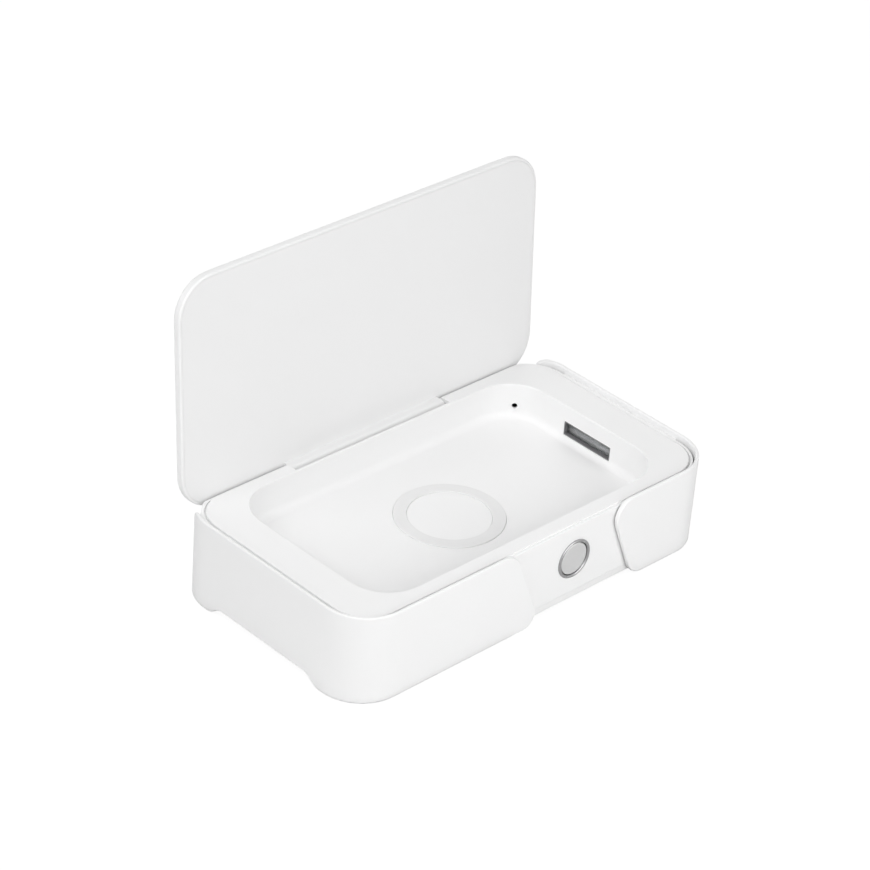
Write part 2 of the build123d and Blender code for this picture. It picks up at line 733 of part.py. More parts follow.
# Parts on the main board, as (x, y, length, width, height).
chips = [(-10, 8, 9, 9, 1.2), (14, 10, 6, 5, 1.5), (-14, 40, 5, 6, 1.5), (12, 34, 5, 5, 1.0)]
with BuildPart() as control_chips:
    for x, y, length, width, height in chips:
        with BuildSketch(level(board_top)):
            with Locations((x, y)):
                Rectangle(length, width)
        extrude(amount=height)
pieces["control_chips"] = control_chips

with BuildPart() as lamp_transformers:
    with BuildSketch(level(board_top)):
        with Locations((-36, 18), (36, 18)):
            Rectangle(12, 16)
    extrude(amount=1.2)
    with BuildSketch(level(board_top + 1.2)):
        with Locations((-36, 18), (36, 18)):
            Rectangle(9, 12)
    extrude(amount=3.2)
    with BuildSketch(level(board_top + 4.4)):
        with Locations((-36, 18), (36, 18)):
            Rectangle(12, 16)
    extrude(amount=1.2)
pieces["lamp_transformers"] = lamp_transformers

with BuildPart() as capacitors:
    with BuildSketch(level(board_top)):
        with Locations((-24, 30), (24, 30), (-24, 38)):
            Circle(3)
    extrude(amount=5.8)
    fillet(capacitors.edges().group_by(Axis.Z)[-1], radius=0.4)
pieces["capacitors"] = capacitors

# Sockets: three for the lamps and coil on the main board, and one pair for the button.
connector_height, cable_z = 4.4, board_top + 2.3
with BuildPart() as cable_connectors:
    with BuildSketch(level(board_top)):
        with Locations((-41, 4), (41, 4)):
            Rectangle(6, 8)
        with Locations((0, -16.5), (button_x, -16.5)):
            Rectangle(8, 6)
    extrude(amount=connector_height)
    with BuildSketch(from_front(board_rear_y)):
        with Locations((button_x, 18.0)):
            Rectangle(8, 4.4)
    extrude(amount=-1.0)
pieces["cable_connectors"] = cable_connectors

# ------------------------------------------------------------------ hinge pins
with BuildPart() as hinge_pins:
    for end in (-1, 1):
        with BuildSketch(from_right(end * 38.5)):
            with Locations((hinge_y, hinge_z)):
                Circle(pin_r)
        extrude(amount=end * (pin_outer_x - 38.5))
pieces["hinge_pins"] = hinge_pins

# ------------------------------------------------------------------ lid
# The lid is drawn as it lies when shut, on a plane that turns about the hinge with it.
tilt = radians(open_angle)
lid_plane = Plane(
    origin=(0, box_y + hinge_y, hinge_z), x_dir=(1, 0, 0), z_dir=(0, sin(tilt), cos(tilt))
)
lid_normal = Axis(lid_plane.origin, lid_plane.z_dir)
lid_middle = (0, lid_rear - lid_depth / 2 - hinge_y)
lid_low = deck_z + lid_gap - hinge_z
lid_high = lid_low + lid_thickness
tab_length, barrel_r, tab_reach = 93.7, 2.5, 0.9
lid_magnet_y = -52.1

with BuildPart() as lid_shell:
    with BuildSketch(lid_plane.offset(lid_low)):
        with Locations(lid_middle):
            RectangleRounded(lid_length, lid_depth, lid_corner)
    extrude(amount=lid_thickness)
    fillet(lid_shell.faces().sort_by(lid_normal)[-1].edges(), radius=2.0)
    fillet(lid_shell.faces().sort_by(lid_normal)[0].edges(), radius=0.9)
    with BuildSketch(lid_plane.offset(lid_low)):
        with Locations(lid_middle):
            RectangleRounded(
                lid_length - 2 * lid_border, lid_depth - 2 * lid_border, lid_corner - lid_border
            )
    extrude(amount=lid_thickness - lid_skin, mode=Mode.SUBTRACT)
pieces["lid_shell"] = lid_shell

panel_inset = lid_border + 0.1
with BuildPart() as lid_inner_panel:
    with BuildSketch(lid_plane.offset(lid_low)):
        with Locations(lid_middle):
            RectangleRounded(
                lid_length - 2 * panel_inset, lid_depth - 2 * panel_inset, lid_corner - panel_inset
            )
    extrude(amount=lid_panel)
    # Hinge tab with its barrel, along the lid's rear edge.
    tab_plane = Plane(
        origin=(notch_middle - tab_length / 2, box_y + hinge_y, hinge_z),
        x_dir=lid_plane.y_dir,
        z_dir=(1, 0, 0),
    )
    with BuildSketch(tab_plane):
        Circle(barrel_r)
        with BuildLine():
            Polyline(
                (-barrel_r, 0),
                (barrel_r, 0),
                (barrel_r, lid_low - 0.05),
                (tab_reach, lid_low - 0.05),
                (tab_reach, lid_low + 0.5),
                (-barrel_r, lid_low + 0.5),
                close=True,
            )
        make_face()
    extrude(amount=tab_length)
    for end in (-1, 1):
        with BuildSketch(from_right(end * 38.0)):
            with Locations((hinge_y, hinge_z)):
                Circle(pin_r + 0.05)
        extrude(amount=end * 12, mode=Mode.SUBTRACT)
pieces["lid_inner_panel"] = lid_inner_panel

with BuildPart() as lid_magnets:
    with BuildSketch(lid_plane.offset(lid_low + lid_panel)):
        with Locations(*[(x, lid_magnet_y - hinge_y) for x, _ in magnet_places]):
            Circle(2.3)
    extrude(amount=1.5)
pieces["lid_magnets"] = lid_magnets

with BuildPart() as base_magnets:
    with BuildSketch(level(deck_under)):
        with Locations(*magnet_places):
            Circle(2.4)
    extrude(amount=-2.0)
pieces["base_magnets"] = base_magnets

# Small board under the deck that feels a lid magnet.
with BuildPart() as lid_sensor:
    with BuildSketch(level(deck_under)):
        with Locations((54, rail_y)):
            Rectangle(9, 4.8)
    extrude(amount=-1.0)
    with BuildSketch(level(deck_under - 1.0)):
        with Locations((52, rail_y)):
            Rectangle(3, 1.6)
    extrude(amount=-0.8)
pieces["lid_sensor"] = lid_sensor

# ------------------------------------------------------------------ cables
# Flat leads: each is a strip bent along a line in an upright plane, as (plane, line, width).
cable_half, cable_bend = 0.25, 2.0
cables = {
    "button_cable": (
        from_right(button_x - 2.5),
        ((-19.8, cable_z), (-48.8, cable_z), (-48.8, 20.0)),
        5.0,
    ),
    "coil_leads": (
        from_right(-1.5),
        ((-19.8, cable_z), (-29.4, cable_z), (-29.4, coil_z), (-22.35, coil_z)),
        3.0,
    ),
    "left_lamp_cable": (
        from_front(6),
        ((-44.3, cable_z), (-95.5, cable_z), (-95.5, lamp_low - 0.3)),
        4.0,
    ),
    "right_lamp_cable": (
        from_front(6),
        ((44.3, cable_z), (95.5, cable_z), (95.5, lamp_low - 0.3)),
        4.0,
    ),
}
for name, (plane, line, width) in cables.items():
    with BuildPart() as cable:
        with BuildSketch(plane):
            with BuildLine():
                FilletPolyline(*line, radius=cable_bend)
                offset(amount=cable_half, side=Side.BOTH)
            make_face()
        extrude(amount=width)
    pieces[name] = cable

for name, piece in pieces.items():
    piece.part.label = name
    export_step(piece.part, f"parts/{name}.step")
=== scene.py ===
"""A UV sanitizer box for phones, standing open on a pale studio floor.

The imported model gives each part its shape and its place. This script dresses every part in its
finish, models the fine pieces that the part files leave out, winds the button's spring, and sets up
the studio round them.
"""

import json
import logging
import math
from dataclasses import dataclass, replace
from enum import Enum
from typing import Any, ClassVar, Optional, Sequence, Union

import bpy
from mathutils import Matrix, Vector

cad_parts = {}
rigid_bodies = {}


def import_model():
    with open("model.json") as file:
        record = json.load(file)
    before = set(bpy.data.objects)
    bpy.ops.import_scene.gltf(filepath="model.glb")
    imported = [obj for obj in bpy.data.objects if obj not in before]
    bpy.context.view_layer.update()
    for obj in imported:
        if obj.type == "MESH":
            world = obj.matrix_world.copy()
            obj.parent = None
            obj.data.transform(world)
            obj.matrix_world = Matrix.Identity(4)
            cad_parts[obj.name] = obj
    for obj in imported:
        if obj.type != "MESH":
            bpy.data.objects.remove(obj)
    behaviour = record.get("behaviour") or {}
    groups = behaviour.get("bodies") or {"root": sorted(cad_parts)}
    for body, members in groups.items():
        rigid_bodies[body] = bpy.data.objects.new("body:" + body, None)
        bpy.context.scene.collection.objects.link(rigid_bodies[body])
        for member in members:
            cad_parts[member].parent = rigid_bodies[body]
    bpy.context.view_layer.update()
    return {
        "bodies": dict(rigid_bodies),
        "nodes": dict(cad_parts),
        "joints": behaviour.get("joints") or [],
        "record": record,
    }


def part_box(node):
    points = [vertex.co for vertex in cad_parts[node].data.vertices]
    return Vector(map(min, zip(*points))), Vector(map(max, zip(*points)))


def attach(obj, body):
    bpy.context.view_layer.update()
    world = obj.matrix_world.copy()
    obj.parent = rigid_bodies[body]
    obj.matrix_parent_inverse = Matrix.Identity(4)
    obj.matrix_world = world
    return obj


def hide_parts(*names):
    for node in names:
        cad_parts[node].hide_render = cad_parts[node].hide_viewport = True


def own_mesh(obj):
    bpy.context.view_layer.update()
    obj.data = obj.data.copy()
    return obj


LOG = logging.getLogger("sanitizer_box")
MM = 0.001

Colour = tuple[float, float, float]
Pair = tuple[float, float]
Triple = tuple[float, float, float]

WHITE = (0.903, 0.903, 0.903)
PURE_WHITE = (1.0, 1.0, 1.0, 1.0)
CASE_MIDDLE_Y = -4.9 * MM
SHARP_ANGLE = math.radians(35.0)


# ---------------------------------------------------------------------------- shader arithmetic


class Reading:
    """A number that varies over a surface. Arithmetic on it adds Math nodes."""

    def __init__(self, sheet: "NodeSheet", socket: bpy.types.NodeSocket) -> None:
        """Wraps a socket.

        Args:
            sheet: The material's node sheet.
            socket: The output that carries the number.
        """
        self.sheet = sheet
        self.socket = socket

    def _with(self, operation: str, first: "Operand", second: "Operand") -> "Reading":
        """Joins two operands through one Math node."""
        made = self.sheet.node("ShaderNodeMath", {"operation": operation}, {0: first, 1: second})
        return Reading(self.sheet, made.outputs[0])

    def __add__(self, other: "Operand") -> "Reading":
        """Sum of two readings."""
        return self._with("ADD", self, other)

    def __radd__(self, other: "Operand") -> "Reading":
        """Sum with a plain number on the left."""
        return self._with("ADD", other, self)

    def __sub__(self, other: "Operand") -> "Reading":
        """Difference of two readings."""
        return self._with("SUBTRACT", self, other)

    def __rsub__(self, other: "Operand") -> "Reading":
        """Plain number less this reading."""
        return self._with("SUBTRACT", other, self)

    def __mul__(self, other: "Operand") -> "Reading":
        """Product of two readings."""
        return self._with("MULTIPLY", self, other)

    def larger(self, other: "Operand") -> "Reading":
        """The larger of two readings."""
        return self._with("MAXIMUM", self, other)

    def size(self) -> "Reading":
        """The reading without its sign."""
        return self._with("ABSOLUTE", self, 0.0)

    def swing(self, amount: float) -> "Reading":
        """How far a reading from 0 to 1 stands off its middle, times an amount."""
        return (self - 0.5) * amount

    def wave(self, pitch: float) -> "Reading":
        """Sine of the reading, from -1 to 1, with its crests a pitch apart."""
        return self._with("SINE", self * (math.tau / pitch), 0.0)

    def ripple(self, pitch: float) -> "Reading":
        """The same wave, from 0 to 1."""
        return self.wave(pitch) * 0.5 + 0.5

    def between(self, low: float, high: float) -> "Reading":
        """Smooth step from 0 at low to 1 at high.

        Args:
            low: The reading that gives 0.
            high: The reading that gives 1.

        Returns:
            The stepped reading.
        """
        settings = {"interpolation_type": "SMOOTHSTEP"}
        made = self.sheet.node("ShaderNodeMapRange", settings, {0: self, 1: low, 2: high})
        return Reading(self.sheet, made.outputs[0])


Operand = Union[Reading, float]


@dataclass(frozen=True)
class Noise:
    """A soft noise about 0.5: its features per metre, its octaves and how it is stretched."""

    scale: float
    detail: float = 2.0
    stretch: Triple = (1.0, 1.0, 1.0)


class NodeSheet:
    """The node tree of one material or world, and the few kinds of node that it is drawn with."""

    def __init__(self, owner: Union[bpy.types.Material, bpy.types.World]) -> None:
        """Starts with an empty tree.

        Args:
            owner: The material or the world that is drawn.
        """
        owner.use_nodes = True
        self.tree = owner.node_tree
        self.tree.nodes.clear()
        of_world = isinstance(owner, bpy.types.World)
        self.output = self.node("ShaderNodeOutputWorld" if of_world else "ShaderNodeOutputMaterial")

    def node(
        self,
        kind: str,
        settings: Optional[dict[str, Any]] = None,
        inputs: Optional[dict[Union[int, str], Any]] = None,
    ) -> bpy.types.Node:
        """Adds a node.

        Args:
            kind: The node's type.
            settings: What is set on the node itself, before its sockets.
            inputs: A value, a reading or a socket for each named or numbered input.

        Returns:
            The new node.
        """
        made = self.tree.nodes.new(kind)
        for key, value in (settings or {}).items():
            setattr(made, key, value)
        for key, value in (inputs or {}).items():
            source = value.socket if isinstance(value, Reading) else value
            if isinstance(source, bpy.types.NodeSocket):
                self.tree.links.new(source, made.inputs[key])
            else:
                made.inputs[key].default_value = source
        return made

    def place(self, middle: Triple = (0.0, 0.0, 0.0), stretch: Triple = (1.0, 1.0, 1.0)) -> Any:
        """Object coordinates, counted from a point and stretched.

        Args:
            middle: The point that becomes the origin, in metres.
            stretch: A factor for each axis.

        Returns:
            The vector socket.
        """
        raw = self.node("ShaderNodeTexCoord").outputs["Object"]
        moved = self.node(
            "ShaderNodeVectorMath", {"operation": "SUBTRACT"}, {0: raw, 1: middle}
        ).outputs[0]
        settings = {"operation": "MULTIPLY"}
        return self.node("ShaderNodeVectorMath", settings, {0: moved, 1: stretch}).outputs[0]

    def axes(self, place: Any) -> tuple[Reading, Reading, Reading]:
        """The three numbers of a vector socket."""
        made = self.node("ShaderNodeSeparateXYZ", inputs={0: place})
        return tuple(Reading(self, made.outputs[i]) for i in range(3))

    def length(self, place: Any) -> Reading:
        """Length of a vector socket."""
        made = self.node("ShaderNodeVectorMath", {"operation": "LENGTH"}, {0: place})
        return Reading(self, made.outputs["Value"])

    def noise(self, kind: Noise) -> Reading:
        """Soft noise, in Object coordinates."""
        where = self.place(stretch=kind.stretch)
        values = {"Vector": where, "Scale": kind.scale, "Detail": kind.detail}
        return Reading(self, self.node("ShaderNodeTexNoise", inputs=values).outputs[0])

    def cells(self, scale: float) -> Reading:
        """Distance to the nearest of scattered points, with so many points per metre."""
        values = {"Vector": self.place(), "Scale": scale}
        return Reading(self, self.node("ShaderNodeTexVoronoi", inputs=values).outputs[0])

    def blend(self, mask: Operand, low: Any, high: Any) -> bpy.types.NodeSocket:
        """Mix of two colours.

        Args:
            mask: 0 for the first colour, 1 for the second.
            low: The first colour, or its socket.
            high: The second colour, or its socket.

        Returns:
            The colour socket.
        """
        low, high = (
            (*value, 1.0) if isinstance(value, tuple) else value for value in (low, high)
        )
        settings = {"data_type": "RGBA"}
        return self.node("ShaderNodeMix", settings, {0: mask, 6: low, 7: high}).outputs[2]

    def bump(self, height: Reading, distance: float) -> bpy.types.NodeSocket:
        """Normal of a relief.

        Args:
            height: The relief, from 0 to 1.
            distance: Its depth in metres.

        Returns:
            The normal socket.
        """
        values = {"Height": height, "Distance": distance, "Strength": 1.0}
        return self.node("ShaderNodeBump", inputs=values).outputs[0]

    def surface(self, values: dict[str, Any]) -> None:
        """Ends the sheet in one Principled shader.

        Args:
            values: What its sockets hold. A plain base colour has no alpha.
        """
        tone = values["Base Color"]
        filled = {**values, "Base Color": (*tone, 1.0)} if isinstance(tone, tuple) else values
        self.end(self.node("ShaderNodeBsdfPrincipled", inputs=filled))

    def end(self, shader: bpy.types.Node) -> None:
        """Leads a shader to the tree's output."""
        self.tree.links.new(shader.outputs[0], self.output.inputs["Surface"])

    def direct(self) -> Reading:
        """1 for what the camera sees by itself, else 0."""
        return Reading(self, self.node("ShaderNodeLightPath").outputs["Is Camera Ray"])

    def seen(self) -> Reading:
        """1 for what the camera sees, by itself or in metal and glass, else 0."""
        rays = self.node("ShaderNodeLightPath").outputs
        mirrored = Reading(self, rays["Is Glossy Ray"])
        return self.direct().larger(mirrored).larger(Reading(self, rays["Is Transmission Ray"]))


def dimmed(colour: Colour, factor: float) -> Colour:
    """A colour times a factor."""
    return (colour[0] * factor, colour[1] * factor, colour[2] * factor)


# ---------------------------------------------------------------------------- finishes


@dataclass(frozen=True)
class Finish:
    """One finish. Its material is drawn the first time that a part needs it."""

    name: str
    colour: Colour

    def draw(self, sheet: NodeSheet) -> None:
        """Draws the finish on an empty sheet."""
        raise NotImplementedError

    def material(self) -> bpy.types.Material:
        """The finish's material."""
        known = bpy.data.materials.get(self.name)
        if known is None:
            known = bpy.data.materials.new(self.name)
            self.draw(NodeSheet(known))
        return known


@dataclass(frozen=True)
class Moulding(Finish):
    """Moulded plastic: a spark-eroded grain, slow clouds in tone and gloss, and handling marks."""

    roughness: float = 0.42
    grain: float = 0.45 * MM
    depth: float = 0.010 * MM
    drift: float = 0.012
    sheen: float = 0.0
    grain_gloss: ClassVar[float] = 0.08
    cloud: ClassVar[Noise] = Noise(14.0, 3.0)
    cloud_gloss: ClassVar[float] = 0.10
    rub: ClassVar[Noise] = Noise(60.0, 4.0, (0.25, 1.0, 1.0))
    rub_steps: ClassVar[Pair] = (0.52, 0.75)
    rub_gloss: ClassVar[float] = 0.05
    fleck: ClassVar[Noise] = Noise(900.0, 1.0)
    fleck_steps: ClassVar[Pair] = (0.70, 0.78)
    fleck_share: ClassVar[float] = 0.5
    fleck_tone: ClassVar[float] = 0.97

    def draw(self, sheet: NodeSheet) -> None:
        """Draws grain, clouds, faint rubbed streaks and flecks."""
        grain = sheet.noise(Noise(1.0 / self.grain))
        cloud = sheet.noise(self.cloud)
        rubbed = sheet.noise(self.rub).between(*self.rub_steps)
        flecked = sheet.noise(self.fleck).between(*self.fleck_steps) * self.fleck_share
        tone = sheet.blend(cloud, dimmed(self.colour, 1.0 - self.drift), self.colour)
        tone = sheet.blend(flecked, tone, dimmed(self.colour, self.fleck_tone))
        rough = self.roughness + cloud.swing(self.cloud_gloss) - rubbed * self.rub_gloss
        sheet.surface(
            {
                "Base Color": tone,
                "Roughness": rough + grain.swing(self.grain_gloss),
                "Normal": sheet.bump(grain, self.depth),
                "IOR": 1.48,
                "Sheen Weight": self.sheen,
            }
        )


@dataclass(frozen=True)
class Silicone(Finish):
    """Soft rubber with a dusty bloom and a very fine skin."""

    roughness: float = 0.62
    skin: ClassVar[Noise] = Noise(3200.0, 1.0)
    skin_depth: ClassVar[float] = 0.012 * MM
    bloom: ClassVar[Noise] = Noise(40.0, 4.0)
    bloom_tone: ClassVar[float] = 0.965
    bloom_gloss: ClassVar[float] = 0.15

    def draw(self, sheet: NodeSheet) -> None:
        """Draws the bloom and the skin."""
        skin = sheet.noise(self.skin)
        bloom = sheet.noise(self.bloom)
        tone = sheet.blend(bloom, dimmed(self.colour, self.bloom_tone), self.colour)
        sheet.surface(
            {
                "Base Color": tone,
                "Roughness": self.roughness + bloom.swing(self.bloom_gloss),
                "Normal": sheet.bump(skin, self.skin_depth),
                "IOR": 1.42,
                "Sheen Weight": 0.15,
                "Sheen Roughness": 0.5,
            }
        )


class Lay(Enum):
    """The way in which a metal's finishing lines run."""

    ALONG = (0.02, 1.0, 1.0)
    ACROSS = (1.0, 0.02, 1.0)
    UPRIGHT = (1.0, 1.0, 0.02)
    NONE = (1.0, 1.0, 1.0)


@dataclass(frozen=True)
class Metal(Finish):
    """Bare or plated metal with its finishing lines and a little tarnish."""

    roughness: float = 0.25
    lay: Lay = Lay.NONE
    lines: float = 2600.0
    depth: float = 0.004 * MM
    line_gloss: ClassVar[float] = 0.12
    tarnish: ClassVar[Noise] = Noise(120.0, 3.0)
    tarnish_steps: ClassVar[Pair] = (0.45, 0.75)
    tarnish_tone: ClassVar[float] = 0.93
    tarnish_gloss: ClassVar[float] = 0.04

    def draw(self, sheet: NodeSheet) -> None:
        """Draws lines and tarnish."""
        lines = sheet.noise(Noise(self.lines, stretch=self.lay.value))
        tarnish = sheet.noise(self.tarnish).between(*self.tarnish_steps)
        tone = sheet.blend(tarnish, self.colour, dimmed(self.colour, self.tarnish_tone))
        rough = self.roughness + lines.swing(self.line_gloss) + tarnish * self.tarnish_gloss
        sheet.surface(
            {
                "Base Color": tone,
                "Metallic": 1.0,
                "Roughness": rough,
                "Normal": sheet.bump(lines, self.depth),
            }
        )


@dataclass(frozen=True)
class SatinFace(Finish):
    """Bead-blasted metal paint on a round face, with fine lines turned round its middle."""

    middle: Triple = (0.0, 0.0, 0.0)
    roughness: float = 0.46
    depth: ClassVar[float] = 0.006 * MM
    line_pitch: ClassVar[float] = 0.16 * MM
    line_share: ClassVar[float] = 0.3
    blast: ClassVar[Noise] = Noise(2800.0)
    blast_tone: ClassVar[float] = 0.95
    blast_gloss: ClassVar[float] = 0.14

    def draw(self, sheet: NodeSheet) -> None:
        """Draws the turned lines and the blasted grain."""
        turned = sheet.length(sheet.place(self.middle, (1.0, 0.0, 1.0))).ripple(self.line_pitch)
        blasted = sheet.noise(self.blast)
        tone = sheet.blend(blasted, dimmed(self.colour, self.blast_tone), self.colour)
        sheet.surface(
            {
                "Base Color": tone,
                "Metallic": 0.75,
                "Roughness": self.roughness + blasted.swing(self.blast_gloss),
                "Normal": sheet.bump(turned * self.line_share + blasted, self.depth),
            }
        )


@dataclass(frozen=True)
class ClearQuartz(Finish):
    """Clear tube glass with faint drawing lines along it."""

    roughness: ClassVar[float] = 0.02
    lines: ClassVar[Noise] = Noise(900.0, 1.0, (1.0, 0.03, 1.0))
    line_gloss: ClassVar[float] = 0.03
    depth: ClassVar[float] = 0.004 * MM

    def draw(self, sheet: NodeSheet) -> None:
        """Draws the glass."""
        drawn = sheet.noise(self.lines)
        sheet.surface(
            {
                "Base Color": self.colour,
                "Roughness": self.roughness + drawn * self.line_gloss,
                "Normal": sheet.bump(drawn, self.depth),
                "Transmission Weight": 0.78,
                "IOR": 1.46,
            }
        )


@dataclass(frozen=True)
class SolderMask(Finish):
    """Circuit board: lacquer over copper tracks, with bare tinned pads and a glass-cloth weave."""

    depth: ClassVar[float] = 0.03 * MM
    roughness: ClassVar[float] = 0.28
    track_pitch: ClassVar[float] = 2.54 * MM
    track_bend: ClassVar[Noise] = Noise(55.0, 0.0)
    track_reach: ClassVar[float] = 20.0 * MM
    track_choice: ClassVar[Noise] = Noise(45.0, 0.0)
    choice_steps: ClassVar[Pair] = (0.47, 0.53)
    track_steps: ClassVar[Pair] = (0.25, 0.45)
    track_tone: ClassVar[float] = 1.9
    spread: ClassVar[Noise] = Noise(80.0, 1.0)
    spread_steps: ClassVar[Pair] = (0.42, 0.48)
    bare_gloss: ClassVar[float] = 0.10
    pads_per_metre: ClassVar[float] = 260.0
    pad_steps: ClassVar[Pair] = (0.16, 0.20)
    pad_colour: ClassVar[Colour] = (0.66, 0.64, 0.58)
    pad_metal: ClassVar[float] = 0.9
    pad_gloss: ClassVar[float] = 0.08
    weave_pitch: ClassVar[float] = 0.6981317 * MM
    weave_share: ClassVar[float] = 0.12

    def draw(self, sheet: NodeSheet) -> None:
        """Draws the tracks, the pads and the weave."""
        x, y, z = sheet.axes(sheet.place())
        bend = sheet.noise(self.track_bend) * self.track_reach
        across = (x + bend).wave(self.track_pitch)
        along = (y + z + bend).wave(self.track_pitch)
        choice = sheet.noise(self.track_choice).between(*self.choice_steps)
        tracks = (across * choice + along * (1.0 - choice)).between(*self.track_steps)
        raised = tracks * sheet.noise(self.spread).between(*self.spread_steps)
        pads = 1.0 - sheet.cells(self.pads_per_metre).between(*self.pad_steps)
        weave = (x.wave(self.weave_pitch) * (y + z).wave(self.weave_pitch)) * 0.5 + 0.5
        lacquer = sheet.blend(raised, self.colour, dimmed(self.colour, self.track_tone))
        rough = self.roughness + (1.0 - tracks) * self.bare_gloss + pads * self.pad_gloss
        sheet.surface(
            {
                "Base Color": sheet.blend(pads, lacquer, self.pad_colour),
                "Metallic": pads * self.pad_metal,
                "Roughness": rough,
                "Normal": sheet.bump(raised + weave * self.weave_share + pads, self.depth),
                "Coat Weight": 0.3,
            }
        )


@dataclass(frozen=True)
class Winding(Finish):
    """Enamelled copper wire: amber varnish that pools between the turns."""

    middle: Triple = (0.0, 0.0, 0.0)
    strand_pitch: ClassVar[float] = 0.24 * MM
    depth: ClassVar[float] = 0.03 * MM
    roughness: ClassVar[float] = 0.26
    pool: ClassVar[Noise] = Noise(300.0, 3.0)
    pool_steps: ClassVar[Pair] = (0.40, 0.70)
    pool_tone: ClassVar[float] = 0.62
    pool_gloss: ClassVar[float] = 0.16

    def draw(self, sheet: NodeSheet) -> None:
        """Draws the varnish and the strands."""
        out = sheet.length(sheet.place(self.middle, (1.0, 1.0, 0.0)))
        pooled = sheet.noise(self.pool).between(*self.pool_steps)
        tone = sheet.blend(pooled, self.colour, dimmed(self.colour, self.pool_tone))
        sheet.surface(
            {
                "Base Color": tone,
                "Metallic": 0.85,
                "Roughness": self.roughness + pooled * self.pool_gloss,
                "Normal": sheet.bump(out.ripple(self.strand_pitch), self.depth),
                "Coat Weight": 0.5,
            }
        )


@dataclass(frozen=True)
class FlatLead(Finish):
    """Flat insulated lead: ribs where its wires run, and one marked edge."""

    across: Lay = Lay.ALONG
    edge: float = 0.0
    roughness: ClassVar[float] = 0.45
    rib_pitch: ClassVar[float] = 0.9 * MM
    rib_depth: ClassVar[float] = 0.12 * MM
    rib_gloss: ClassVar[float] = 0.1
    mark_colour: ClassVar[Colour] = (0.46, 0.06, 0.05)
    mark_steps: ClassVar[Pair] = (0.855 * MM, 0.945 * MM)
    dust: ClassVar[Noise] = Noise(500.0)
    dust_share: ClassVar[float] = 0.4
    dust_tone: ClassVar[float] = 0.6

    def draw(self, sheet: NodeSheet) -> None:
        """Draws the ribs, the marked wire and the dust."""
        x, y, _ = sheet.axes(sheet.place())
        from_edge = (x if self.across is Lay.ALONG else y) - self.edge
        ribs = from_edge.ripple(self.rib_pitch)
        marked = 1.0 - from_edge.between(*self.mark_steps)
        tone = sheet.blend(marked, self.colour, self.mark_colour)
        dusty = sheet.noise(self.dust) * self.dust_share
        sheet.surface(
            {
                "Base Color": sheet.blend(dusty, tone, dimmed(self.colour, self.dust_tone)),
                "Roughness": self.roughness + ribs.swing(self.rib_gloss),
                "Normal": sheet.bump(ribs, self.rib_depth),
            }
        )


@dataclass(frozen=True)
class TapedBobbin(Finish):
    """Polyester tape wound over a bobbin, in lapped turns."""

    roughness: ClassVar[float] = 0.24
    depth: ClassVar[float] = 0.05 * MM
    lap_pitch: ClassVar[float] = 1.1 * MM
    lap_tone: ClassVar[float] = 0.78
    lap_share: ClassVar[float] = 0.6
    crease: ClassVar[Noise] = Noise(700.0, 3.0, (1.0, 1.0, 0.15))
    crease_gloss: ClassVar[float] = 0.14
    crease_share: ClassVar[float] = 0.4

    def draw(self, sheet: NodeSheet) -> None:
        """Draws the laps and the creases."""
        _, _, z = sheet.axes(sheet.place())
        laps = z.ripple(self.lap_pitch)
        crease = sheet.noise(self.crease)
        relief = laps * self.lap_share + crease * self.crease_share
        sheet.surface(
            {
                "Base Color": sheet.blend(laps, dimmed(self.colour, self.lap_tone), self.colour),
                "Roughness": self.roughness + crease * self.crease_gloss,
                "Normal": sheet.bump(relief, self.depth),
                "Coat Weight": 0.6,
            }
        )


